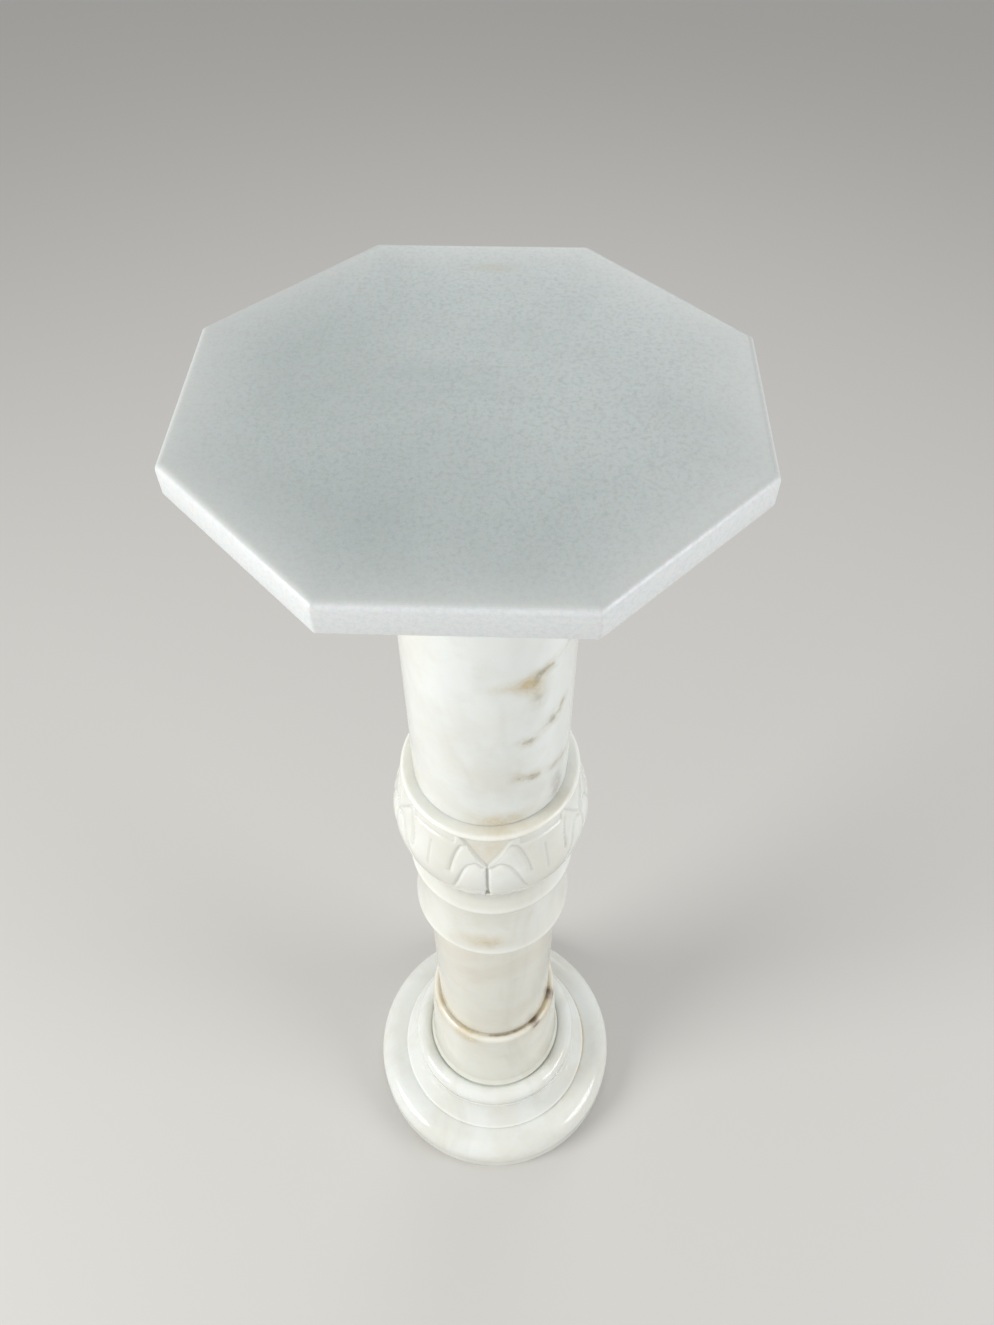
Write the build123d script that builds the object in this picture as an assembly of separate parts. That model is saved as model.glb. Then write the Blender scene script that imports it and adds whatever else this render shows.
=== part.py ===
from build123d import *
from math import cos, radians, sin, sqrt
import os

os.makedirs("parts", exist_ok=True)

# A turned marble pedestal column with a loose-cut octagonal top, in millimetres.
# The floor is Z = 0, the shafts stand on the Z axis, and the front of the top faces -Y.

# Heights of the stone pieces, which stand on each other from the floor up
plinth_thickness = 45.0
tier_rise = 36.0
drum_height = 122.0
lower_shaft_length = 220.0
flare_height = 78.0
collar_height = 126.0
upper_shaft_length = 294.0
slab_thickness = 26.0

# Stepped base: a round plinth, a hollowed tier over it and a half-round ring that holds the drum
plinth_diameter = 264.0
plinth_foot_round = 8.0
plinth_top_round = 18.0
tier_foot_diameter = 204.0
tier_top_diameter = 176.0
tier_lip = 3.0
tier_lip_step = 1.5
tier_hollow = 3.6
ring_radius = 9.5
ring_centre_rise = 6.5
ring_to_seat_rise = 6.5
drum_seat_gap = 0.6

# Drum: a tapered block with a thin lip at its foot and a rounded shoulder
drum_foot_diameter = 141.0
drum_lip_height = 4.0
drum_lip_width = 2.2
drum_cove_height = 6.0
drum_top_diameter = 125.6
drum_shoulder_round = 6.0

# Both shafts are cut from one size of turned bar
shaft_diameter = 111.0

# Flared ring under the collar: a bell that widens to a rounded rim
flare_throat_diameter = 120.4
flare_rim_diameter = 131.2
flare_rim_round = 8.0

# Collar: bead, groove, leaf-carved bulb and lip
bead_diameter = 130.8
bead_round = 6.0
bead_face_height = 3.0
bead_cove_hollow = 1.6
groove_diameter = 123.6
groove_rise = 33.0
bulb_foot_rise = 36.0
bulb_flank_rise = 52.0
bulb_flank_inset = 3.3
bulb_diameter = 148.0
bulb_middle_rise = 75.0
bulb_shoulder_rise = 88.0
bulb_shoulder_inset = 1.7
bulb_top_rise = 122.0
lip_diameter = 130.4
lip_round = 3.5

# Leaf carving, measured down from the top of the bulb and sideways from a stem
leaf_count = 5
carve_overshoot = 12.0
dart_width = 41.0
dart_height = 31.0
dart_bulge = 1.0
dart_depth = 2.4
band_width = 36.0
band_height = 9.0
band_depth = 1.4
stem_width = 3.4
stem_length = 39.0
stem_depth = 3.2
stem_hole_diameter = 4.4
stem_hole_depth = 7.0
lobe_groove_width = 1.8
lobe_groove_depth = 1.5
lower_lobe_start = (3.4, 30.0)
lower_lobe_crest = (10.0, 27.0)
lower_lobe_side = (18.5, 35.5)
lower_lobe_end = (26.0, 62.0)
middle_lobe_start = (16.0, 9.5)
middle_lobe_crest = (20.5, 12.0)
middle_lobe_side = (25.6, 25.0)
middle_lobe_end = (29.0, 39.0)
vein_width = 1.4
vein_top_drop = 17.0
vein_length = 30.0

# Octagonal top: hand cut, so its three widths across flats differ a little, and bonded off the axis
slab_front_to_back = 271.6
slab_side_to_side = 283.6
slab_across_diagonals = 276.0
slab_shift_left = 6.3
slab_top_ease = 2.5
slab_bottom_ease = 0.8

# Threaded rod through the stones, with a washer and a nut in a pocket at each end
rod_diameter = 10.0
rod_bore_clearance = 2.0
washer_diameter = 34.0
washer_thickness = 3.0
washer_bore_clearance = 0.5
nut_across_flats = 17.0
nut_height = 8.0
nut_corner_ease = 0.8
rod_overrun = 3.0
rod_end_ease = 1.0
pocket_clearance = 4.0
foot_pocket_depth = 22.0
head_pocket_depth = 18.0

# Levels, worked out from the heights
tier_top = plinth_thickness + tier_rise
ring_centre_level = tier_top + ring_centre_rise
drum_foot_level = ring_centre_level + ring_to_seat_rise
drum_top_level = drum_foot_level + drum_height
flare_foot_level = drum_top_level + lower_shaft_length
collar_foot_level = flare_foot_level + flare_height
collar_top_level = collar_foot_level + collar_height
slab_foot_level = collar_top_level + upper_shaft_length
slab_top_level = slab_foot_level + slab_thickness
bulb_top_level = collar_foot_level + bulb_top_rise

rod_bore_radius = rod_diameter / 2 + rod_bore_clearance
pocket_radius = washer_diameter / 2 + pocket_clearance
shaft_radius = shaft_diameter / 2


def turned(edges, foot, head):
    """Revolves an outline that runs up from radius foot[0] to head[0], closed along the bore."""
    inner_foot = (rod_bore_radius, foot[1])
    inner_head = (rod_bore_radius, head[1])
    closing = Polyline(head, inner_head, inner_foot, foot)
    face = make_face(Plane.XZ * (Curve() + edges + closing))
    return revolve(face, Axis.Z)


def pocket(level, depth):
    """A round pocket for a washer and nut, from a level up by depth, or down if it is negative."""
    return Pos(0, 0, level + depth / 2) * Cylinder(pocket_radius, abs(depth))


def base_plinth():
    """Round plinth, hollowed tier and half-round ring, turned from one block."""
    outer = plinth_diameter / 2
    foot = (outer - plinth_foot_round, 0)
    foot_end = (outer, plinth_foot_round)
    top_start = (outer, plinth_thickness - plinth_top_round)
    top_end = (outer - plinth_top_round, plinth_thickness)
    tier_foot = tier_foot_diameter / 2
    lip_top = (tier_foot, plinth_thickness + tier_lip)
    hollow_foot = (tier_foot - tier_lip_step, plinth_thickness + tier_lip + tier_lip_step)
    hollow_head = (tier_top_diameter / 2, tier_top)
    ring_reach = sqrt(ring_radius**2 - ring_centre_rise**2)
    seat_reach = sqrt(ring_radius**2 - ring_to_seat_rise**2)
    seat_edge = drum_foot_diameter / 2 + drum_seat_gap
    ring_centre = seat_edge + seat_reach
    ring_foot = (ring_centre + ring_reach, tier_top)
    ring_side = (ring_centre + ring_radius * cos(radians(40)), ring_centre_level + ring_radius * sin(radians(40)))
    seat = (seat_edge, drum_foot_level)
    edges = [
        RadiusArc(foot, foot_end, plinth_foot_round),
        Line(foot_end, top_start),
        RadiusArc(top_start, top_end, plinth_top_round),
        Polyline(top_end, (tier_foot, plinth_thickness), lip_top, hollow_foot),
        SagittaArc(hollow_foot, hollow_head, -tier_hollow),
        Line(hollow_head, ring_foot),
        ThreePointArc(ring_foot, ring_side, seat),
    ]
    return turned(edges, foot, seat) - pocket(0, foot_pocket_depth)


def base_drum():
    """Tapered drum that stands inside the ring of the plinth."""
    foot = (drum_foot_diameter / 2, drum_foot_level)
    lip_top = (foot[0], drum_foot_level + drum_lip_height)
    cove_top = (foot[0] - drum_lip_width, lip_top[1] + drum_cove_height)
    shoulder_foot = (drum_top_diameter / 2, drum_top_level - drum_shoulder_round)
    shoulder_top = (shoulder_foot[0] - drum_shoulder_round, drum_top_level)
    edges = [
        Line(foot, lip_top),
        SagittaArc(lip_top, cove_top, -drum_lip_width / 4),
        Line(cove_top, shoulder_foot),
        RadiusArc(shoulder_foot, shoulder_top, drum_shoulder_round),
    ]
    return turned(edges, foot, shoulder_top)


def shaft(level, length):
    """A plain turned length of the shaft, bored for the rod."""
    foot = (shaft_radius, level)
    head = (shaft_radius, level + length)
    return turned([Line(foot, head)], foot, head)


def flared_ring():
    """Bell-shaped ring with a rounded rim, under the collar."""
    rim = flare_rim_diameter / 2
    foot = (rim - flare_rim_round, flare_foot_level)
    rim_top = (rim, flare_foot_level + flare_rim_round)
    throat = (flare_throat_diameter / 2, collar_foot_level)
    edges = [
        RadiusArc(foot, rim_top, flare_rim_round),
        TangentArc(throat, rim_top, tangent=(0, -1)),
    ]
    return turned(edges, foot, throat)


def bulb_side(inset=0.0):
    """Side of the bulb from its foot to its top in four arcs that run on smoothly, moved in by an inset."""
    widest = bulb_diameter / 2 - inset
    foot = (groove_diameter / 2 - inset, collar_foot_level + bulb_foot_rise)
    flank = (widest - bulb_flank_inset, collar_foot_level + bulb_flank_rise)
    middle = (widest, collar_foot_level + bulb_middle_rise)
    shoulder = (widest - bulb_shoulder_inset, collar_foot_level + bulb_shoulder_rise)
    top = (lip_diameter / 2 - inset, bulb_top_level)
    lower = TangentArc(middle, flank, tangent=(0, -1))
    upper = TangentArc(middle, shoulder, tangent=(0, 1))
    under = TangentArc(flank, foot, tangent=lower % 1)
    neck = TangentArc(shoulder, top, tangent=upper % 1)
    return [under, lower, upper, neck], foot, top


def stem_plane(turn):
    """A vertical plane through the axis whose outward side faces a turn from the front."""
    angle = radians(turn - 90)
    return Plane(origin=(0, 0, 0), x_dir=(-sin(angle), cos(angle), 0), z_dir=(cos(angle), sin(angle), 0))


def carve_point(place, side=1):
    """A point of the carving from its distance beside the stem and below the top of the bulb."""
    return (side * place[0], bulb_top_level - place[1])


def dart_outline():
    """The pointed gap between two leaves, point down, over a stem."""
    point = carve_point((0, dart_height))
    left = carve_point((dart_width / 2, 0), -1)
    right = carve_point((dart_width / 2, 0))
    sides = [
        SagittaArc(point, right, -dart_bulge),
        Line(right, left),
        SagittaArc(left, point, -dart_bulge),
    ]
    return make_face(Curve() + sides)


def lobe_lines(side):
    """The two lobe edges that a leaf shows beside a stem."""
    lower = [lower_lobe_start, lower_lobe_crest, lower_lobe_side, lower_lobe_end]
    middle = [middle_lobe_start, middle_lobe_crest, middle_lobe_side, middle_lobe_end]
    return [Spline(*[carve_point(place, side) for place in places]) for places in (lower, middle)]


def groove(line, width):
    """A flat shape along a line, as wide as a chisel cut in the middle and pointed at both ends."""
    sides = []
    for side in (-width / 2, width / 2):
        places = [line @ 0]
        for step in (0.2, 0.5, 0.8):
            along = line % step
            places.append(line @ step + Vector(-along.Y, along.X) * side)
        sides.append(Spline(*places, line @ 1))
    return make_face(Curve() + sides)


def carving_shell(depth):
    """The skin of the bulb down to a depth, which every cut of the carving is limited to."""
    inner, foot, top = bulb_side(depth)
    outer_radius = bulb_diameter / 2 + carve_overshoot
    outside = Polyline(top, (outer_radius, top[1]), (outer_radius, foot[1]), foot)
    return revolve(make_face(Plane.XZ * (Curve() + inner + outside)), Axis.Z)


def around(shapes, first_turn=0.0):
    """Prisms of some flat shapes, pointing outwards from the axis, once for every leaf."""
    reach = bulb_diameter / 2 + carve_overshoot
    prisms = []
    for index in range(leaf_count):
        facing = stem_plane(first_turn + index * 360 / leaf_count)
        prisms += [extrude(facing * shape, reach) for shape in shapes]
    return prisms


def carve(body, depth, prisms):
    """Cuts prisms into the bulb, no deeper than a depth under its surface."""
    skin = carving_shell(depth)
    for prism in prisms:
        body -= skin & prism
    return body


def carved_collar():
    """Collar with a bead, a groove and a bulb carved with leaves, one turned and carved piece."""
    bead = bead_diameter / 2
    foot = (bead - bead_round, collar_foot_level)
    bead_side = (bead, collar_foot_level + bead_round)
    bead_top = (bead, bead_side[1] + bead_face_height)
    groove_foot = (groove_diameter / 2, collar_foot_level + groove_rise)
    side, bulb_foot, bulb_top = bulb_side()
    lip_side = (lip_diameter / 2, collar_top_level - lip_round)
    lip_top = (lip_diameter / 2 - lip_round, collar_top_level)
    edges = [
        RadiusArc(foot, bead_side, bead_round),
        Line(bead_side, bead_top),
        SagittaArc(bead_top, groove_foot, -bead_cove_hollow),
        Line(groove_foot, bulb_foot),
        *side,
        Line(bulb_top, lip_side),
        RadiusArc(lip_side, lip_top, lip_round),
    ]
    collar = turned(edges, foot, lip_top)

    stem_middle = bulb_top_level - dart_height - stem_length / 2
    stem = Pos(0, stem_middle) * SlotOverall(stem_length + stem_width, stem_width, rotation=90)
    stem_foot = Pos(0, stem_middle - stem_length / 2) * Circle(stem_hole_diameter / 2)
    collar = carve(collar, stem_depth, around([stem]))
    collar = carve(collar, stem_hole_depth, around([stem_foot]))

    half_leaf = 180 / leaf_count
    lobe_edges = [groove(line, lobe_groove_width) for hand in (-1, 1) for line in lobe_lines(hand)]
    collar = carve(collar, lobe_groove_depth, around(lobe_edges))
    vein = Line(carve_point((0, vein_top_drop + vein_length)), carve_point((0, vein_top_drop)))
    collar = carve(collar, lobe_groove_depth, around([groove(vein, vein_width)], half_leaf))

    collar = carve(collar, dart_depth, around([dart_outline()]))
    band = Pos(0, bulb_top_level - band_height / 2) * Rectangle(band_width, band_height)
    collar = carve(collar, band_depth, around([band], half_leaf))
    return collar


def top_slab():
    """Octagonal top with an eased upper edge."""
    front = slab_front_to_back / 2
    side = slab_side_to_side / 2
    diagonal = slab_across_diagonals / sqrt(2)
    corner = [(diagonal - front, front), (side, diagonal - side)]
    quarter = corner + [(x, -y) for x, y in reversed(corner)]
    outline = quarter + [(-x, -y) for x, y in quarter]
    slab = extrude(make_face(Polyline(*outline, close=True)), slab_thickness)
    slab = fillet(slab.faces().sort_by(Axis.Z)[-1].edges(), slab_top_ease)
    slab = chamfer(slab.faces().sort_by(Axis.Z)[0].edges(), slab_bottom_ease)
    return Pos(-slab_shift_left, 0, slab_foot_level) * slab


def washer(level):
    """Plain washer whose lower face is at a level."""
    outline = Circle(washer_diameter / 2) - Circle(rod_diameter / 2 + washer_bore_clearance)
    return Pos(0, 0, level) * extrude(outline, washer_thickness)


def nut(level):
    """Hexagon nut, with its corners turned off, whose lower face is at a level."""
    hexagon = RegularPolygon(nut_across_flats / 2, 6, major_radius=False)
    blank = extrude(hexagon, nut_height)
    corner = nut_across_flats / sqrt(3)
    turning = Pos(0, 0, nut_height / 2) * Cylinder(corner, nut_height)
    turning = chamfer(turning.edges().filter_by(GeomType.CIRCLE), nut_corner_ease)
    bore = Pos(0, 0, nut_height / 2) * Cylinder(rod_diameter / 2, nut_height)
    return Pos(0, 0, level) * ((blank & turning) - bore)


def tie_rod(foot, head):
    """Threaded rod between two levels; the thread itself isn't cut."""
    rod = Pos(0, 0, (foot + head) / 2) * Cylinder(rod_diameter / 2, head - foot)
    return chamfer(rod.edges().filter_by(GeomType.CIRCLE), rod_end_ease)


foot_washer_level = foot_pocket_depth - washer_thickness
foot_nut_level = foot_washer_level - nut_height
head_washer_level = slab_foot_level - head_pocket_depth
head_nut_level = head_washer_level + washer_thickness

upper_shaft = shaft(collar_top_level, upper_shaft_length) - pocket(slab_foot_level, -head_pocket_depth)

pieces = {
    "base_plinth": base_plinth(),
    "base_drum": base_drum(),
    "lower_shaft": shaft(drum_top_level, lower_shaft_length),
    "flared_ring": flared_ring(),
    "carved_collar": carved_collar(),
    "upper_shaft": upper_shaft,
    "top_slab": top_slab(),
    "tie_rod": tie_rod(foot_nut_level - rod_overrun, head_nut_level + nut_height + rod_overrun),
    "foot_washer": washer(foot_washer_level),
    "foot_nut": nut(foot_nut_level),
    "head_washer": washer(head_washer_level),
    "head_nut": nut(head_nut_level),
}

for name, piece in pieces.items():
    solids = piece.solids()
    print(name, len(solids), "solid", round(piece.volume / 1000, 1), "cm3", "valid", piece.is_valid)
    export_step(piece, f"parts/{name}.step")
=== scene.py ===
# A turned marble pedestal column, 0.96 m high, with a leaf-carved collar and an octagonal top.
# Each visible stone is turned or cut again here at fine resolution over its CAD piece, with the
# soft edges, veins, stains and dark joints of a column that has stood and been cleaned for years.

from math import cos, hypot, pi, radians, sin, sqrt, tan

import bpy
import numpy as np
from mathutils import Matrix, Vector


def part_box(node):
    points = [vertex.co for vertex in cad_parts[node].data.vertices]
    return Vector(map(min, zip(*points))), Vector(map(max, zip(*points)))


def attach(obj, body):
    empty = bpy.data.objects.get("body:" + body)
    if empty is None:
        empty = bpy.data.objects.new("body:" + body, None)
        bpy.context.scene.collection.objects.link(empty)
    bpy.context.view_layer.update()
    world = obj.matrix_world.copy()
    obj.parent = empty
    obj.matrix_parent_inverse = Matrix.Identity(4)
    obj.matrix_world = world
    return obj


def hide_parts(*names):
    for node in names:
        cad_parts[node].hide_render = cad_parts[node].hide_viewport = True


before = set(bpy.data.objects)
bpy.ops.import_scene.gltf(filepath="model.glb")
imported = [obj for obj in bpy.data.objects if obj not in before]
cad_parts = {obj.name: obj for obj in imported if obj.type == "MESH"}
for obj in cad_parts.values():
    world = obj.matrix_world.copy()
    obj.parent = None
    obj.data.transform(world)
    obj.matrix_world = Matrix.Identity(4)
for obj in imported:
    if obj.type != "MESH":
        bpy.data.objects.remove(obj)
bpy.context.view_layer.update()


# Base plinth: a round foot, a hollowed tier and a half-round ring, turned from one thick block of
# polished ivory marble. Its flat underside stands on the floor, with a pocket in the middle for
# the rod's lower nut.

MM = 0.001


def place(node):
    """Foot level, head level and radius of a turned CAD piece, in millimetres."""
    low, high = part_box(node)
    return low.z / MM, high.z / MM, high.x / MM


bore_radius = 7.0
pocket_radius = 21.0
foot_pocket_depth = 22.0
plinth_foot, _, plinth_radius = place("base_plinth")
plinth_thickness = 45.0
plinth_foot_round = 8.0
plinth_top_round = 18.0
tier_top = plinth_thickness + 36.0
tier_foot_radius = 102.0
tier_top_radius = 88.0
tier_lip = 3.0
tier_lip_step = 1.5
tier_hollow = 3.6
ring_centre = 78.0
ring_radius = 9.5
ring_reach = 6.9
ring_widest = (ring_centre + ring_radius, tier_top + 6.5)
ring_under_bulge = 1.1
ring_over_bulge = 7.2
drum_seat = place("base_drum")[0]


def arc(start, end, bulge, count=8):
    """Points from start to end along a circle that bulges by that much to the right of the way."""
    (x0, z0), (x1, z1) = start, end
    chord = hypot(x1 - x0, z1 - z0)
    radius = (chord**2 / 4 + bulge**2) / (2 * bulge)
    across = ((z1 - z0) / chord, -(x1 - x0) / chord)
    centre = (
        (x0 + x1) / 2 - across[0] * (radius - bulge),
        (z0 + z1) / 2 - across[1] * (radius - bulge),
    )
    begin = np.arctan2(z0 - centre[1], x0 - centre[0])
    sweep = np.arctan2(z1 - centre[1], x1 - centre[0]) - begin
    sweep = (sweep + pi) % (2 * pi) - pi
    angles = [begin + sweep * step / count for step in range(count + 1)]
    return [(centre[0] + abs(radius) * cos(a), centre[1] + abs(radius) * sin(a)) for a in angles]


def quarter(start, end):
    """A quarter round between two points."""
    radius = hypot(end[0] - start[0], end[1] - start[1]) / sqrt(2)
    return arc(start, end, radius * (1 - sqrt(0.5)))


plinth_outline = [
    (bore_radius, foot_pocket_depth),
    (pocket_radius, foot_pocket_depth),
    (pocket_radius, plinth_foot),
    *quarter(
        (plinth_radius - plinth_foot_round, plinth_foot),
        (plinth_radius, plinth_foot + plinth_foot_round),
    ),
    *quarter(
        (plinth_radius, plinth_thickness - plinth_top_round),
        (plinth_radius - plinth_top_round, plinth_thickness),
    ),
    (tier_foot_radius, plinth_thickness),
    (tier_foot_radius, plinth_thickness + tier_lip),
    *arc(
        (tier_foot_radius - tier_lip_step, plinth_thickness + tier_lip + tier_lip_step),
        (tier_top_radius, tier_top),
        -tier_hollow,
    ),
    *arc((ring_centre + ring_reach, tier_top), ring_widest, ring_under_bulge, 5),
    *arc(ring_widest, (ring_centre - ring_reach, drum_seat), ring_over_bulge, 16),
    (bore_radius, drum_seat),
]


def soft_corner(first, corner, last, count):
    """Points from first to last along a curve that cuts off the corner."""
    steps = [step / count for step in range(count + 1)]
    return [first * (1 - s) ** 2 + corner * 2 * s * (1 - s) + last * s**2 for s in steps]


def eased(outline, size=0.6):
    """The outline with its sharp corners taken off, as sanding and polishing leave them."""
    nothing = 1e-6
    result = []
    for index, place_of_corner in enumerate(outline):
        corner = Vector(place_of_corner)
        back = Vector(outline[index - 1]) - corner
        ahead = Vector(outline[(index + 1) % len(outline)]) - corner
        if back.length < nothing or ahead.length < nothing:
            continue
        if back.angle(ahead) > radians(150):
            result.append(place_of_corner)
            continue
        reach = min(size, back.length / 2.2, ahead.length / 2.2)
        first, last = corner + back.normalized() * reach, corner + ahead.normalized() * reach
        result += [(point.x, point.y) for point in soft_corner(first, corner, last, 4)]
    return result


def spaced(outline, step):
    """The closed outline with its long stretches divided into steps, apart from the hidden bore."""
    bore = min(x for x, _ in outline) + 0.1
    result = []
    for index, (x0, z0) in enumerate(outline):
        x1, z1 = outline[(index + 1) % len(outline)]
        in_bore = x0 < bore and x1 < bore
        count = 1 if in_bore else max(1, round(hypot(x1 - x0, z1 - z0) / step))
        result += [(x0 + (x1 - x0) * k / count, z0 + (z1 - z0) * k / count) for k in range(count)]
    return result


def mesh_object(name, points, faces, smooth_angle=40):
    """A mesh with smooth faces and sharp corners only where it turns by more than an angle."""
    mesh = bpy.data.meshes.new(name)
    mesh.from_pydata((np.asarray(points) * MM).tolist(), [], faces)
    mesh.update()
    piece = bpy.data.objects.new(name, mesh)
    bpy.context.scene.collection.objects.link(piece)
    mesh.shade_smooth()
    mesh.set_sharp_from_angle(angle=radians(smooth_angle))
    return piece


def turned(name, outline, count, shape=None):
    """A body turned round the axis, in a count of steps, from a closed outline of (radius, height)."""
    rows = len(outline)
    radius, height = np.array(outline).T
    radius = np.repeat(radius[:, None], count, axis=1)
    height = np.repeat(height[:, None], count, axis=1)
    turn = np.repeat((np.arange(count) * 2 * pi / count)[None, :], rows, axis=0)
    if shape is not None:
        radius = shape(radius, height, turn)
    points = np.stack([radius * np.cos(turn), radius * np.sin(turn), height], axis=2).reshape(-1, 3)
    row, column = np.meshgrid(np.arange(rows), np.arange(count), indexing="ij")
    above, beside = (row + 1) % rows, (column + 1) % count
    corners = [row * count + column, row * count + beside, above * count + beside, above * count + column]
    faces = np.stack(corners, axis=2).reshape(-1, 4).tolist()
    return mesh_object(name, points, faces)


fine_step = 2.0
base_plinth = turned("base_plinth_stone", spaced(eased(plinth_outline), fine_step), count=360)


def paint(red, green, blue):
    """A linear colour from the 0 to 255 values a painter would read off a swatch."""
    shares = [value / 255 for value in (red, green, blue)]
    linear = [((share + 0.055) / 1.055) ** 2.4 if share > 0.04045 else share / 12.92 for share in shares]
    return (*linear, 1.0)


class Finish:
    """A material and short ways to add and join its nodes."""

    def __init__(self, name):
        self.material = bpy.data.materials.new(name)
        self.material.use_nodes = True
        self.tree = self.material.node_tree
        self.tree.nodes.clear()

    def add(self, kind, links=None, **settings):
        """A node with its settings, and with a value or another node's output on each input."""
        node = self.tree.nodes.new("ShaderNode" + kind)
        for key, value in settings.items():
            setattr(node, key, value)
        for key, value in (links or {}).items():
            socket = node.inputs[key]
            if isinstance(value, bpy.types.NodeSocket):
                self.tree.links.new(value, socket)
            else:
                socket.default_value = value
        return node

    def math(self, operation, first, second=0.0):
        return self.add("Math", {0: first, 1: second}, operation=operation).outputs[0]

    def between(self, value, low, high, start=0.0, end=1.0):
        """The value moved smoothly from the range low to high into start to end."""
        links = {"Value": value, "From Min": low, "From Max": high, "To Min": start, "To Max": end}
        return self.add("MapRange", links, interpolation_type="SMOOTHSTEP").outputs["Result"]

    def blend(self, factor, first, second, blend_type="MIX"):
        """The first colour at a factor of 0, and the second at 1."""
        node = self.add("Mix", {0: factor, 6: first, 7: second}, data_type="RGBA", blend_type=blend_type)
        return node.outputs[2]

    def noise(self, where, scale, detail=4.0, roughness=0.55, distortion=0.0):
        links = {"Vector": where, "Scale": scale, "Detail": detail}
        links |= {"Roughness": roughness, "Distortion": distortion}
        return self.add("TexNoise", links).outputs["Fac"]

    def mark(self, name):
        """A value stored on the mesh's points."""
        return self.add("Attribute", attribute_name=name).outputs["Fac"]

    def finish(self, colour, roughness, height, bump, **surface):
        """The material, from its colour, its roughness and the height of its fine relief."""
        relief = self.add("Bump", {"Height": height, "Strength": bump, "Distance": MM})
        links = {"Base Color": colour, "Roughness": roughness, "Normal": relief.outputs[0]}
        links |= {key.replace("_", " "): value for key, value in surface.items()}
        shader = self.add("BsdfPrincipled", links)
        self.add("OutputMaterial", {"Surface": shader.outputs[0]})
        return self.material


def ivory_marble():
    """Polished warm white marble, whose veins, stains, dirt, painted shade and painted highlights are marked
    on the meshes.
    """
    look = Finish("ivory_marble")
    where = look.add("TexCoord").outputs["Object"]
    clouds = look.noise(where, 9.0, 5.0, 0.6, 0.6)
    mottle = look.noise(where, 42.0, 5.0, 0.62, 0.3)
    grain = look.noise(where, 900.0, 3.0, 0.7)
    white, ivory = paint(236, 240, 237), paint(229, 230, 223)
    mottle_colour, grain_colour = paint(218, 216, 206), paint(204, 202, 190)
    colour = look.blend(look.between(clouds, 0.38, 0.68), white, ivory)
    colour = look.blend(look.between(mottle, 0.5, 0.8, 0.0, 0.3), colour, mottle_colour)
    colour = look.blend(look.between(grain, 0.5, 0.8, 0.0, 0.12), colour, grain_colour)

    # Faint grey threads that run through every block
    thread_colour = paint(196, 194, 182)
    warp = look.add("VectorMath", {0: where, 1: (1.0, 1.0, 0.45)}, operation="MULTIPLY").outputs[0]
    thread = look.noise(warp, 5.0, 4.0, 0.5, 1.0)
    thread = look.math("ABSOLUTE", look.math("SUBTRACT", thread, 0.5))
    colour = look.blend(look.between(thread, 0.0, 0.03, 0.1, 0.0), colour, thread_colour)

    # Some blocks are creamier than others
    cream_tint = paint(244, 237, 224)
    colour = look.blend(look.mark("cream"), colour, cream_tint, "MULTIPLY")

    # Soft brown veins, marked as a distance in millimetres that a fine noise makes uneven
    halo_colour, line_colour = paint(206, 200, 178), paint(140, 128, 104)
    wander = look.math("MULTIPLY", look.math("SUBTRACT", look.noise(where, 120.0, 5.0, 0.7), 0.5), 12.0)
    away = look.math("ABSOLUTE", look.math("ADD", look.mark("vein_distance"), wander))
    broken = look.between(look.noise(where, 55.0, 3.0), 0.38, 0.62, 0.15, 1.0)
    halo = look.math("MULTIPLY", look.between(away, 0.0, 10.0, 0.7, 0.0), broken)
    line = look.math("MULTIPLY", look.between(away, 0.0, 3.0, 0.45, 0.0), broken)
    colour = look.blend(halo, colour, halo_colour)
    colour = look.blend(line, colour, line_colour)

    # Ochre stains, settled dirt in the joints and cuts together with painted shade in the cuts, the groove
    # and under the rims, and painted clean white highlights on the arrises
    ochre, highlight_white = paint(202, 184, 142), paint(250, 250, 244)
    dust_and_shade, grime_and_shade = paint(150, 147, 140), paint(100, 80, 58)
    patch = look.noise(where, 95.0, 6.0, 0.7)
    stain = look.math("MULTIPLY", look.mark("stain"), look.between(patch, 0.3, 0.66, 0.4, 1.15))
    colour = look.blend(look.math("MINIMUM", stain, 0.8), colour, ochre)
    # Dirt and painted shade: small amounts give a pale grey, larger ones a brown
    dirt_and_shade = look.math("MULTIPLY", look.mark("dirt_and_shade"), look.between(patch, 0.3, 0.66, 0.5, 1.15))
    dirt_and_shade_colour = look.blend(look.between(dirt_and_shade, 0.1, 0.5), dust_and_shade, grime_and_shade)
    colour = look.blend(look.math("MINIMUM", dirt_and_shade, 0.9), colour, dirt_and_shade_colour)
    # Painted highlights: the marked arrises are mixed towards a clean white
    colour = look.blend(look.math("MULTIPLY", look.mark("painted_highlight"), 0.7), colour, highlight_white)

    gloss = look.between(mottle, 0.3, 0.8, 0.1, 0.18)
    gloss = look.math("ADD", gloss, look.math("MULTIPLY", look.math("MAXIMUM", stain, dirt_and_shade), 0.3))
    relief = look.math("ADD", look.math("MULTIPLY", mottle, 0.3), look.math("MULTIPLY", grain, 0.1))
    glow = {"Subsurface_Weight": 0.6, "Subsurface_Scale": 0.006, "Subsurface_Radius": (1.0, 0.9, 0.75)}
    return look.finish(colour, gloss, relief, 0.06, **glow)


marble = ivory_marble()


def around_front(piece):
    """Degrees round from the front, distance from the axis and height of each point, in mm."""
    flat = np.zeros(len(piece.data.vertices) * 3, dtype=np.float32)
    piece.data.vertices.foreach_get("co", flat)
    x, y, z = (flat.reshape(-1, 3) / MM).T
    return np.degrees(np.arctan2(x, -y)), np.hypot(x, y), z


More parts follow.
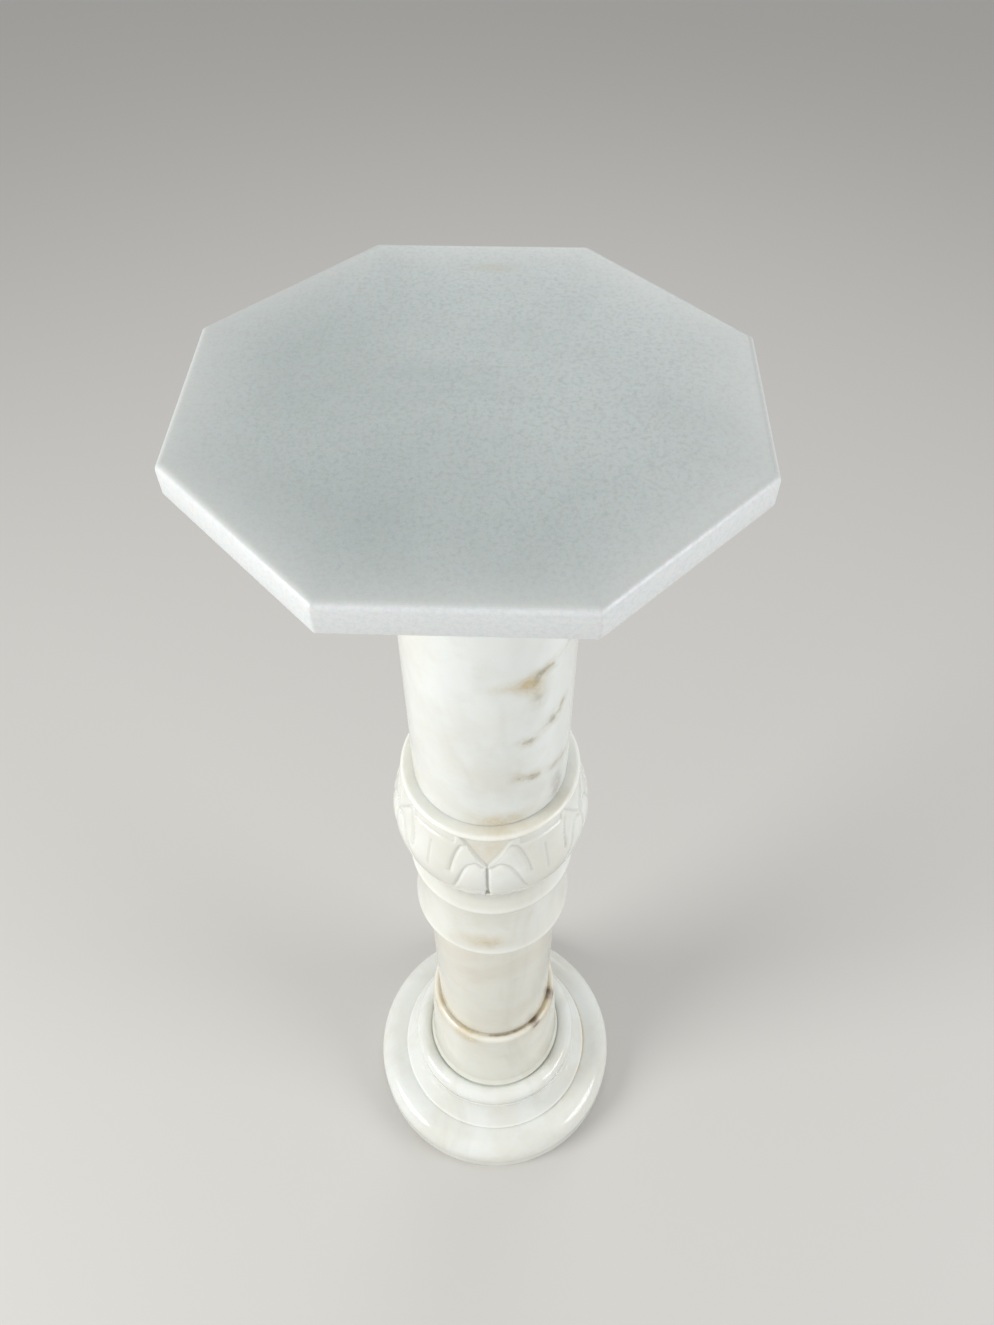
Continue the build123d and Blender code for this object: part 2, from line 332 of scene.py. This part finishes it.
def seam(piece, radius, level, reach):
    """1 along a ring of some radius and height, fading to 0 within a reach: a joint or an arris."""
    _, out, height = around_front(piece)
    away = np.hypot(out - radius, height - level)
    return np.clip(1 - away / reach, 0, 1)


def spot(piece, degrees, level, wide, tall):
    """A soft spot of some width and height, centred some degrees round from the front."""
    angle, out, height = around_front(piece)
    sideways = np.radians((angle - degrees + 180) % 360 - 180) * out
    return np.exp(-((sideways / wide) ** 2) - ((height - level) / tall) ** 2)


far_from_a_vein = 100.0


def stone(piece, node, cream, vein_distance=far_from_a_vein, stain=0.0, dirt_and_shade=0.0, painted_highlight=0.0):
    """Gives a turned stone the ivory marble and its marks, and lets it stand for its CAD piece."""
    piece.data.materials.append(marble)
    marks = {"cream": cream, "vein_distance": vein_distance, "stain": stain, "dirt_and_shade": dirt_and_shade, "painted_highlight": painted_highlight}
    for name, value in marks.items():
        layer = piece.data.attributes.new(name, "FLOAT", "POINT")
        values = np.broadcast_to(np.asarray(value, dtype=np.float32), (len(piece.data.vertices),))
        layer.data.foreach_set("value", np.ascontiguousarray(values))
    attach(piece, "root")
    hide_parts(node)


# Painted shade in the corner at the tier's foot and where the ring meets the tier, dirt in the joint at the
# drum's seat, and a painted highlight on the tier's lip
tier_foot = seam(base_plinth, tier_foot_radius + 0.5, plinth_thickness + 0.3, 2.2)
ring_foot = seam(base_plinth, ring_centre + ring_reach + 0.6, tier_top, 4.0)
ring_top = seam(base_plinth, ring_centre - ring_reach, drum_seat, 3.0)
stone(
    base_plinth,
    "base_plinth",
    cream=0.15,
    stain=0.9 * tier_foot * spot(base_plinth, 100, plinth_thickness, 70, 30),
    dirt_and_shade=0.08 * tier_foot + 0.25 * ring_foot + 0.15 * ring_top,
    painted_highlight=seam(base_plinth, tier_foot_radius, plinth_thickness + tier_lip, 2.6),
)


# Base drum: a slightly tapered block of creamier marble that stands inside the ring, turned with a
# thin lip at its foot and a rounded shoulder under the lower shaft.

drum_foot, drum_head, drum_radius = place("base_drum")
drum_top_radius = 62.8
drum_lip_height = 4.0
drum_lip_width = 2.2
drum_cove_height = 6.0
shoulder = 6.0
shoulder_radius = drum_top_radius - shoulder
drum_outline = [
    (bore_radius, drum_foot),
    (drum_radius, drum_foot),
    (drum_radius, drum_foot + drum_lip_height),
    (drum_radius - drum_lip_width, drum_foot + drum_lip_height + drum_cove_height),
    *quarter((drum_top_radius, drum_head - shoulder), (shoulder_radius, drum_head)),
    (bore_radius, drum_head),
]
base_drum = turned("base_drum_stone", spaced(eased(drum_outline), fine_step), count=360)

# The joint to the shaft has drawn in dirt, and more of it towards the right
left_stain = spot(base_drum, -66, drum_head - 4, 16, 14)
front_stain = spot(base_drum, -26, drum_head - 5, 13, 9)
right_stain = spot(base_drum, 62, drum_head - 2, 26, 8)
joint_dirt = seam(base_drum, shoulder_radius, drum_head, 2.4)
front_dirt = spot(base_drum, 15, drum_head, 30, 20)
right_dirt = spot(base_drum, 46, drum_head - 2, 6, 3.2)
far_right_dirt = spot(base_drum, 79, drum_head, 6, 6)
stone(
    base_drum,
    "base_drum",
    cream=0.6,
    stain=0.75 * front_stain
    + 0.4 * left_stain
    + 0.7 * right_stain
    + 0.4 * seam(base_drum, shoulder_radius, drum_head, 5.0),
    dirt_and_shade=joint_dirt * (0.2 + 0.6 * front_dirt)
    + 0.9 * right_dirt
    + 1.0 * far_right_dirt
    + 0.15 * seam(base_drum, drum_radius, drum_foot, 2.6),
    # Painted highlights on the lip at the foot and on the shoulder
    painted_highlight=0.8 * seam(base_drum, drum_radius, drum_foot + drum_lip_height, 2.4)
    + 0.5 * seam(base_drum, shoulder_radius + 4, drum_head - 1.5, 3.0),
)


# Lower shaft: a plain cylinder between the drum and the flared ring, turned from the same creamy
# marble as the drum and polished, with stains above the joint at its foot.

shaft_foot, shaft_head, shaft_radius = place("lower_shaft")
shaft_arris = 0.8
shaft_step = 2.5
shaft_outline = [
    (bore_radius, shaft_foot),
    (shaft_radius, shaft_foot),
    (shaft_radius, shaft_head),
    (bore_radius, shaft_head),
]
shaft_outline = spaced(eased(shaft_outline, shaft_arris), shaft_step)
lower_shaft = turned("lower_shaft_stone", shaft_outline, count=300)
front_dirt = spot(lower_shaft, 15, shaft_foot, 30, 20)
stone(
    lower_shaft,
    "lower_shaft",
    cream=0.6,
    stain=0.45 * seam(lower_shaft, shaft_radius, shaft_foot, 5.0)
    + 0.6 * spot(lower_shaft, 80, shaft_foot + 4, 9, 10),
    dirt_and_shade=seam(lower_shaft, shaft_radius, shaft_foot, 2.0) * (0.2 + 0.5 * front_dirt)
    + 0.9 * spot(lower_shaft, 80, shaft_foot + 3, 5, 6)
    + 0.3 * seam(lower_shaft, shaft_radius, shaft_head, 2.0),
)


# Flared ring: a bell of marble that widens downwards to a rounded rim, which hangs out over the
# lower shaft. It is turned hollow-sided and polished, with one ochre stain at its front.

flare_foot, flare_head, flare_radius = place("flared_ring")
flare_rim_round = 8.0
flare_hollow = 2.6
throat_radius = 60.2
flare_rim_top = (flare_radius, flare_foot + flare_rim_round)
flare_outline = [
    (bore_radius, flare_foot),
    *quarter((flare_radius - flare_rim_round, flare_foot), flare_rim_top),
    *arc(flare_rim_top, (throat_radius, flare_head), -flare_hollow, 16),
    (bore_radius, flare_head),
]
flared_ring = turned("flared_ring_stone", spaced(eased(flare_outline), fine_step), count=320)
stone(
    flared_ring,
    "flared_ring",
    cream=0.35,
    stain=0.6 * spot(flared_ring, -3, flare_foot + 24, 17, 9),
    dirt_and_shade=0.12 * spot(flared_ring, 2, flare_foot + 20, 12, 5)
    + 0.25 * seam(flared_ring, throat_radius, flare_head, 3.0)
    # Painted shade: a thin dark line under the rim's edge
    + 0.3 * seam(flared_ring, flare_radius - 3, flare_foot + 1, 2.0),
    # Painted highlight: a pale band on the rim
    painted_highlight=0.9 * seam(flared_ring, flare_radius, flare_foot + 9, 4.5),
)


# Carved collar: bead, groove, a bulb carved with five leaves, and a lip, all cut in one block of
# marble. The leaves were cut by hand in the turned bulb: a pointed gap or dart over each stem,
# puffed lobes, a band cut back between two leaves, and a drilled eye at the foot of each stem.

collar_foot, collar_head, collar_radius = place("carved_collar")
bead_radius = 65.4
bead_round = 6.0
bead_top = collar_foot + bead_round + 3
bead_hollow = 1.6
groove_radius = 61.8
groove_width = 3.0
bulb_foot = collar_foot + 36
bulb_flank = (collar_radius - 3.3, bulb_foot + 16)
bulb_middle = (collar_radius, bulb_foot + 39)
bulb_shoulder = (collar_radius - 1.7, bulb_foot + 52)
bulb_top = collar_foot + 122
lip_radius = 65.2
lip_round = 3.5

collar_outline = [
    (bore_radius, collar_foot),
    *quarter((bead_radius - bead_round, collar_foot), (bead_radius, collar_foot + bead_round)),
    *arc((bead_radius, bead_top), (groove_radius, bulb_foot - groove_width), -bead_hollow, 10),
    *arc((groove_radius, bulb_foot), bulb_flank, 1.0, 14),
    *arc(bulb_flank, bulb_middle, 0.8, 30),
    *arc(bulb_middle, bulb_shoulder, 0.4, 18),
    *arc(bulb_shoulder, (lip_radius, bulb_top), -0.6, 50),
    *quarter((lip_radius, collar_head - lip_round), (lip_radius - lip_round, collar_head)),
    (bore_radius, collar_head),
]


def smooth(value, low, high):
    """Rises smoothly from 0 at low to 1 at high."""
    share = np.clip((value - low) / (high - low), 0, 1)
    return share * share * (3 - 2 * share)


def ridge(distance, width):
    """1 at no distance, fading to almost 0 at twice the width."""
    return np.exp(-((distance / width) ** 2))


def curve_through(places, count=10):
    """A smooth line through a few places."""
    ends = [places[0], *places, places[-1]]
    line = []
    for a, b, c, d in zip(ends, ends[1:], ends[2:], ends[3:]):
        a, b, c, d = (np.array(place) for place in (a, b, c, d))
        for step in np.arange(count) / count:
            cubic = -a + 3 * b - 3 * c + d
            square = 2 * a - 5 * b + 4 * c - d
            line.append(tuple(b + 0.5 * ((c - a) * step + square * step**2 + cubic * step**3)))
    return [*line, places[-1]]


def distance_to(beside, below, line):
    """How far points lie from a line of (sideways, downwards) places, in millimetres."""
    nearest = np.full(beside.shape, 1e3)
    for (x0, z0), (x1, z1) in zip(line, line[1:]):
        dx, dz = x1 - x0, z1 - z0
        share = np.clip(((beside - x0) * dx + (below - z0) * dz) / (dx * dx + dz * dz), 0, 1)
        nearest = np.minimum(nearest, np.hypot(beside - x0 - share * dx, below - z0 - share * dz))
    return nearest


# Places beside the stem and below the bulb's top, and the depths and widths of the cuts
leaf_count = 5
lower_lobe = curve_through([(3.4, 30.0), (10.0, 27.0), (18.5, 35.5), (26.0, 62.0)])
middle_lobe = curve_through([(16.0, 9.5), (20.5, 12.0), (25.6, 25.0), (29.0, 39.0)])
lobe_depth = 0.8
lobe_width = 1.1
puff_depth = 0.9
puff_reach = 3.4
dart_half_width = 20.5
dart_height = 31.0
dart_depth = 2.4
dart_puff_depth = 0.5
dart_puff_reach = 2.5
band_half_width = 18.2
band_height = 9.0
band_depth = 1.4
band_slope = 0.8
stem_length = 39.0
stem_foot = dart_height + stem_length
stem_half_width = 1.7
stem_depth = 1.6
stem_puff_depth = 1.0
stem_puff_reach = 3.0
eye_radius = 2.2
eye_depth = 4.5
vein_depth = 0.6
vein_width = 1.0


def leaf_cuts(radius, height, turn):
    """How deep the leaf carving goes at each place, and how much darker it is painted there, for settled dirt
    and for shade in its creases.
    """
    front = -pi / 2
    leaf = 2 * pi / leaf_count
    from_stem = (turn - front + leaf / 2) % leaf - leaf / 2
    beside = np.abs(radius * np.sin(from_stem))
    from_middle = np.abs(radius * np.sin(leaf / 2 - np.abs(from_stem)))
    below = bulb_top - height

    # The chisel wandered, so no two lobes are quite the same width
    which = np.round((turn - front) / leaf) * 2 + (from_stem > 0)
    wander = 1 + 0.09 * np.sin(which * 2.4 + 0.4)
    across = beside / wander

    # The dart's sides bulge a little, and the band, the stem and the eye are cut back behind it
    side = dart_half_width * (1 - below / dart_height) + np.sin(pi * np.clip(below / dart_height, 0, 1))
    in_dart = np.minimum(side - beside, below)
    dart = smooth(in_dart, -0.2, 2.2) * (below < dart_height)
    band = smooth(from_middle, band_half_width + band_slope, band_half_width - band_slope)
    band = band * smooth(below, -0.3, 1.0) * smooth(below, band_height + band_slope, band_height - band_slope)
    stem_run = smooth(below, dart_height - 2, dart_height) * smooth(below, stem_foot + 1, stem_foot)
    stem = smooth(beside, stem_half_width + 0.5, stem_half_width - 0.9) * stem_run
    eye = smooth(np.hypot(beside, below - stem_foot), eye_radius + 0.3, eye_radius - 0.5)

    # Lobes fall away softly towards their outlines, the stem and the dart
    to_lobe = np.minimum(distance_to(across, below, lower_lobe), distance_to(across, below, middle_lobe))
    in_leaf = (1 - dart) * (1 - band)
    edge = lobe_depth * ridge(to_lobe, lobe_width) * in_leaf
    puffed = puff_depth * np.exp(-to_lobe / puff_reach) * in_leaf * smooth(below, 68, 50)
    by_stem = stem_puff_depth * np.exp(-beside / stem_puff_reach) * stem_run
    over_dart = (in_dart < 0) * (below < dart_height) * (below > 0)
    by_dart = dart_puff_depth * np.exp(-np.abs(in_dart) / dart_puff_reach) * over_dart
    vein = vein_depth * ridge(from_middle, vein_width) * smooth(below, 15, 20) * smooth(below, 49, 42)
    flat_cuts = [dart_depth * dart, band_depth * band, eye_depth * eye, vein]
    depth = np.maximum.reduce([*flat_cuts, stem_depth * stem + by_stem, edge + puffed + by_dart])

    # Painted shade and dirt along the dart's edges, under the band, in the stem and the eye, along the lobes
    # and in the vein
    at_dart_edge = ridge(in_dart - 0.8, 0.9) * (below < dart_height) * (below > -1)
    under_band = band * ridge(below - 0.8, 0.8)
    at_lobe = ridge(to_lobe, 0.8) * in_leaf
    grime_and_shade = np.maximum.reduce(
        [0.16 * at_dart_edge, 0.1 * under_band, 0.14 * stem, 0.4 * eye, 0.14 * at_lobe, 0.12 * vein]
    )
    on_bulb = (height > bulb_foot) & (height < bulb_top + 0.2)
    return depth * on_bulb, grime_and_shade * on_bulb


def carved(radius, height, turn):
    """The bulb's turned surface with the leaves cut into it."""
    outside = radius > groove_radius - 1
    return radius - leaf_cuts(radius, height, turn)[0] * outside


# The arcs of the outline are fine enough by themselves, so only its flat stretches are divided
flat_step = 8.0
collar_outline = spaced(eased(collar_outline), flat_step)
collar = turned("carved_collar_stone", collar_outline, count=560, shape=carved)

# The cuts are found again from the carved surface, which lies about 1 mm inside the turned one
angle, out, height = around_front(collar)
cut_depth, cut_grime_and_shade = leaf_cuts(out + 1.0, height, np.radians(angle) - pi / 2)
dart_floor = smooth(cut_depth, 1.0, 2.2)
stone(
    collar,
    "carved_collar",
    cream=0.2,
    stain=0.3 * spot(collar, 8, collar_head, 22, 6)
    + 0.25 * spot(collar, 45, collar_head, 30, 5)
    + 0.35 * spot(collar, 0, bulb_top - 12, 16, 16) * dart_floor,
    # The cuts are painted darker, for settled dirt and for shade in their creases
    dirt_and_shade=cut_grime_and_shade * (out > groove_radius - 8)
    + 0.08 * seam(collar, shaft_radius + 0.5, collar_head, 2.0)
    # Painted shade: a soft grey band in the groove under the bulb
    + 0.25 * seam(collar, groove_radius, bulb_foot - 4, 13.0)
    + 0.4 * seam(collar, bead_radius - 3, collar_foot + 1, 3.0),
    # Painted highlights on the lip's edge and on the bead's top
    painted_highlight=0.8 * seam(collar, lip_radius - 0.6, collar_head - 1.4, 2.6)
    + 0.7 * seam(collar, bead_radius, bead_top, 3.5),
)


# Upper shaft: a plain polished cylinder of the whitest marble, with brown veins on its front right
# and a pocket in its head for the rod's upper nut. It runs up to the top, which is thinner than
# its CAD piece.

upper_foot, cad_head, upper_radius = place("upper_shaft")
head_pocket_depth = 18.0
top_thickness = 18.0
upper_head = place("top_slab")[1] - top_thickness
upper_outline = [
    (bore_radius, upper_foot),
    (upper_radius, upper_foot),
    (upper_radius, upper_head),
    (pocket_radius, upper_head),
    (pocket_radius, cad_head - head_pocket_depth),
    (bore_radius, cad_head - head_pocket_depth),
]
upper_outline = spaced(eased(upper_outline, shaft_arris), shaft_step)
upper_shaft = turned("upper_shaft_stone", upper_outline, count=360)


def veins(piece, *lines):
    """Distance of each point from the nearest of some veins, given in degrees and heights."""
    angle, out, height = around_front(piece)
    sideways = np.radians(angle) * out
    reach = out.max()
    flat = [[(radians(degrees) * reach, level) for degrees, level in line] for line in lines]
    return np.min([distance_to(sideways, height, line) for line in flat], axis=0)


brown_veins = veins(
    upper_shaft,
    [(64, 812), (48, 804), (38, 802), (31, 796)],
    [(34, 801), (32, 790), (36, 774)],
    [(58, 755), (48, 745), (40, 743), (31, 737), (25, 736)],
    [(70, 684), (56, 687), (43, 689), (29, 693), (20, 697)],
)
front_dirt = spot(upper_shaft, 20, upper_foot, 24, 20)
stone(
    upper_shaft,
    "upper_shaft",
    cream=0.0,
    vein_distance=brown_veins,
    stain=0.85 * spot(upper_shaft, 26, 795, 8, 7)
    + 0.35 * spot(upper_shaft, 14, 797, 10, 5)
    + 0.45 * spot(upper_shaft, 34, 786, 5, 9)
    + 0.65 * spot(upper_shaft, 9, upper_foot + 7, 18, 8),
    dirt_and_shade=0.45 * spot(upper_shaft, 36, 802, 4, 3)
    + 0.35 * spot(upper_shaft, 34, 778, 3, 3)
    + 0.4 * spot(upper_shaft, 47, 746, 3, 5)
    + 0.35 * spot(upper_shaft, 52, 686, 6, 3)
    + seam(upper_shaft, upper_radius, upper_foot, 2.2) * (0.05 + 0.35 * front_dirt)
    + 0.45 * spot(upper_shaft, 58, upper_foot + 16, 9, 20),
)


# Octagonal top: a sawn slab of greyer, sugary marble with a satin face and a softly rounded upper
# edge, bonded to the head of the shaft a little off the axis.

slab_low, slab_high = (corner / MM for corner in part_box("top_slab"))
slab_middle = (slab_low + slab_high) / 2
slab_width = slab_high.x - slab_low.x
slab_depth = slab_high.y - slab_low.y
slab_across_diagonals = 276.0
slab_underside = slab_high.z - top_thickness
slab_edge_round = 4.0
slab_bottom_ease = 0.8
slab_corner_round = 2.5
underside_inset = 30
face_insets = (6, 10, 16, 24, 36, 50)


def octagon(inset):
    """The slab's outline pulled in by an inset, going round from the front, with eased corners."""
    across, deep = slab_width / 2 - inset, slab_depth / 2 - inset
    diagonal = (slab_across_diagonals / 2 - inset) * sqrt(2)
    one = [(diagonal - deep, -deep), (across, -(diagonal - across))]
    half = [*one, *[(x, -y) for x, y in reversed(one)]]
    sharp = [Vector(corner) for corner in [*half, *[(-x, -y) for x, y in half]]]
    reach = slab_corner_round * tan(pi / 8)
    points = []
    for index, corner in enumerate(sharp):
        first = corner + (sharp[index - 1] - corner).normalized() * reach
        last = corner + (sharp[(index + 1) % 8] - corner).normalized() * reach
        points += soft_corner(first, corner, last, 3)
    return points


def slab_rings():
    """The slab's edge from its underside to its top, as pairs of inset and height."""
    ease = slab_bottom_ease
    rings = [(underside_inset, slab_underside), (ease, slab_underside)]
    rings += [(ease / 4, slab_underside + ease / 4), (0.0, slab_underside + ease)]
    rings.append((0.0, slab_high.z - slab_edge_round))
    for step in range(1, 9):
        angle = step / 8 * pi / 2
        inset, drop = slab_edge_round * (1 - cos(angle)), slab_edge_round * (1 - sin(angle))
        rings.append((inset, slab_high.z - drop))
    return [*rings, *[(inset, slab_high.z) for inset in face_insets]]


# A painted glow of light through the rim, reaching further in at the left and right, where the lamps stand
rim_reach = 12
extra_rim_reach = 20

slab_points, slab_faces, rim_glow_values = [], [], []
for inset, height in slab_rings():
    for x, y in octagon(inset):
        slab_points.append((slab_middle.x + x, slab_middle.y + y, height))
        fade = rim_reach + extra_rim_reach * abs(x) / (slab_width / 2)
        rim_glow_values.append(float(np.exp(-inset / fade)))
around = len(octagon(0))
ring_count = len(slab_points) // around
for ring in range(ring_count - 1):
    for corner in range(around):
        here, after = ring * around + corner, ring * around + (corner + 1) % around
        slab_faces.append((here, after, after + around, here + around))
slab_faces.append(tuple(range(around - 1, -1, -1)))
slab_faces.append(tuple(range((ring_count - 1) * around, ring_count * around)))
top_slab = mesh_object("top_slab_stone", slab_points, slab_faces, smooth_angle=30)
rim_glow = top_slab.data.attributes.new("rim_glow", "FLOAT", "POINT")
rim_glow.data.foreach_set("value", rim_glow_values)


def grey_marble():
    """Greyish white marble with a fine sugary grain, a satin face, sides painted paler and a painted glow at
    the rim.
    """
    look = Finish("grey_marble")
    where = look.add("TexCoord").outputs["Object"]
    clouds = look.noise(where, 7.0, 5.0, 0.6, 0.5)
    sugar = look.noise(where, 420.0, 4.0, 0.75)
    crystal = look.noise(where, 1300.0, 2.0, 0.6)
    pale_grey, mid_grey = paint(188, 197, 195), paint(177, 187, 185)
    sugar_colour, crystal_colour = paint(158, 167, 166), paint(210, 218, 218)
    colour = look.blend(look.between(clouds, 0.35, 0.7), pale_grey, mid_grey)
    colour = look.blend(look.between(sugar, 0.42, 0.7, 0.0, 0.6), colour, sugar_colour)
    colour = look.blend(look.between(crystal, 0.55, 0.75, 0.0, 0.5), colour, crystal_colour)

    # The sawn and ground sides are paler than the satin face, partly for their finish and partly as painted
    # light from the side lamps; the rim has a painted glow
    side_white, side_grey, rim_glow_colour = paint(240, 246, 252), paint(212, 220, 232), paint(220, 223, 219)
    facing = look.add("SeparateXYZ", {0: look.add("NewGeometry").outputs["True Normal"]}).outputs["Z"]
    side_colour = look.blend(look.between(sugar, 0.4, 0.65), side_white, side_grey)
    # Painted light: faces that turn away from the top take the paler side colour
    colour = look.blend(look.between(facing, 0.55, 0.95, 1.0, 0.0), colour, side_colour)
    # Painted glow: the rim is mixed towards a paler grey
    colour = look.blend(look.math("MULTIPLY", look.mark("rim_glow"), 0.7), colour, rim_glow_colour)

    # A faint brown mark near the middle of the back edge
    brown = paint(180, 168, 132)
    shift = look.add("VectorMath", {0: where, 1: (0.001, -0.111, 0.0)}, operation="ADD").outputs[0]
    squeeze = look.add("VectorMath", {0: shift, 1: (55.0, 160.0, 0.0)}, operation="MULTIPLY").outputs[0]
    away = look.add("VectorMath", {0: squeeze}, operation="LENGTH").outputs["Value"]
    mark = look.math("MULTIPLY", look.between(away, 0.2, 1.1, 0.4, 0.0), look.between(clouds, 0.3, 0.6))
    colour = look.blend(mark, colour, brown)
    relief = look.math("ADD", look.math("MULTIPLY", sugar, 0.5), look.math("MULTIPLY", clouds, 0.2))
    gloss = look.between(sugar, 0.3, 0.7, 0.28, 0.42)
    return look.finish(colour, gloss, relief, 0.12, Subsurface_Weight=0.15, Subsurface_Scale=0.006)


top_slab.data.materials.append(grey_marble())
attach(top_slab, "root")
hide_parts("top_slab")


# Rod, washers and nuts: plain dull steel, hidden in the bore and in the two pockets. The rod runs
# through all the turned stones, and a washer and nut at each end clamp them together.


def dull_steel():
    """Steel gone dull, with faint brown patches."""
    look = Finish("dull_steel")
    where = look.add("TexCoord").outputs["Object"]
    mottle = look.noise(where, 220.0, 4.0, 0.6)
    clean_steel, brown_steel = paint(150, 148, 143), paint(116, 108, 98)
    colour = look.blend(look.between(mottle, 0.35, 0.7), clean_steel, brown_steel)
    return look.finish(colour, look.between(mottle, 0.3, 0.7, 0.35, 0.55), mottle, 0.08, Metallic=1.0)


steel = dull_steel()
for node in ("tie_rod", "foot_washer", "foot_nut", "head_washer", "head_nut"):
    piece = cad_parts[node]
    piece.data.materials.clear()
    piece.data.materials.append(steel)


# Floor: a plain pale ground that the column stands on. It takes the shadow of the column and runs
# out of the picture at the back.

floor_size = 8.0
bpy.ops.mesh.primitive_plane_add(size=floor_size, location=(0, 0, 0))
floor = bpy.context.object
floor.name = "floor"
ground = Finish("pale_floor")
ground_shader = ground.add("BsdfPrincipled", {"Base Color": paint(206, 204, 199), "Roughness": 0.7})
ground.add("OutputMaterial", {"Surface": ground_shader.outputs[0]})
floor.data.materials.append(ground.material)


# Lights: a broad soft light from the upper left, a weaker one opposite and a faint one behind, so
# that both sides of the column are paler than its front, and a pale even light all round.

lamp_size = 1.2
lamps_face = Vector((0, 0, 0.5))


def soft_light(name, location, power, colour=(1, 1, 1)):
    """A round lamp that faces the column, with its power in watts."""
    lamp = bpy.data.lights.new(name, "AREA")
    lamp.shape = "DISK"
    lamp.size, lamp.energy, lamp.color = lamp_size, power, colour
    light = bpy.data.objects.new(name, lamp)
    light.location = location
    light.rotation_euler = (lamps_face - Vector(location)).to_track_quat("-Z", "Y").to_euler()
    bpy.context.scene.collection.objects.link(light)


soft_light("key", (-1.95, -0.9, 1.6), power=42, colour=(1.0, 0.99, 0.98))
soft_light("fill", (1.85, -0.65, 1.3), power=20, colour=(0.99, 0.99, 1.0))
soft_light("back", (0.2, 1.7, 1.8), power=6)

world = bpy.data.worlds.new("studio")
world.use_nodes = True
all_round = world.node_tree.nodes["Background"].inputs
all_round["Color"].default_value = (0.98, 0.985, 1.0, 1.0)
all_round["Strength"].default_value = 0.48
bpy.context.scene.world = world


# Camera: held above the top and tilted down, so that the column runs away from it to its foot. The
# heading, tilt and roll are in degrees, and the sensor and focal length in millimetres.

camera_at = Vector((0.0206, -0.4103, 1.2756))
heading, tilt, roll = radians(92.134), radians(51.877), radians(-0.381)
sensor, focal_length = 36.0, 28.38
ahead = Vector((cos(heading) * cos(tilt), sin(heading) * cos(tilt), -sin(tilt)))
level_right = Vector((sin(heading), -cos(heading), 0))
level_up = level_right.cross(ahead)
right = level_right * cos(roll) + level_up * sin(roll)
up = level_up * cos(roll) - level_right * sin(roll)

lens = bpy.data.cameras.new("camera")
lens.sensor_width, lens.lens = sensor, focal_length
lens.clip_start, lens.clip_end = 0.02, 50.0
camera = bpy.data.objects.new("camera", lens)
camera.matrix_world = Matrix.Translation(camera_at) @ Matrix((right, up, -ahead)).transposed().to_4x4()
bpy.context.scene.collection.objects.link(camera)
bpy.context.scene.camera = camera
bpy.context.scene.view_settings.view_transform = "Standard"
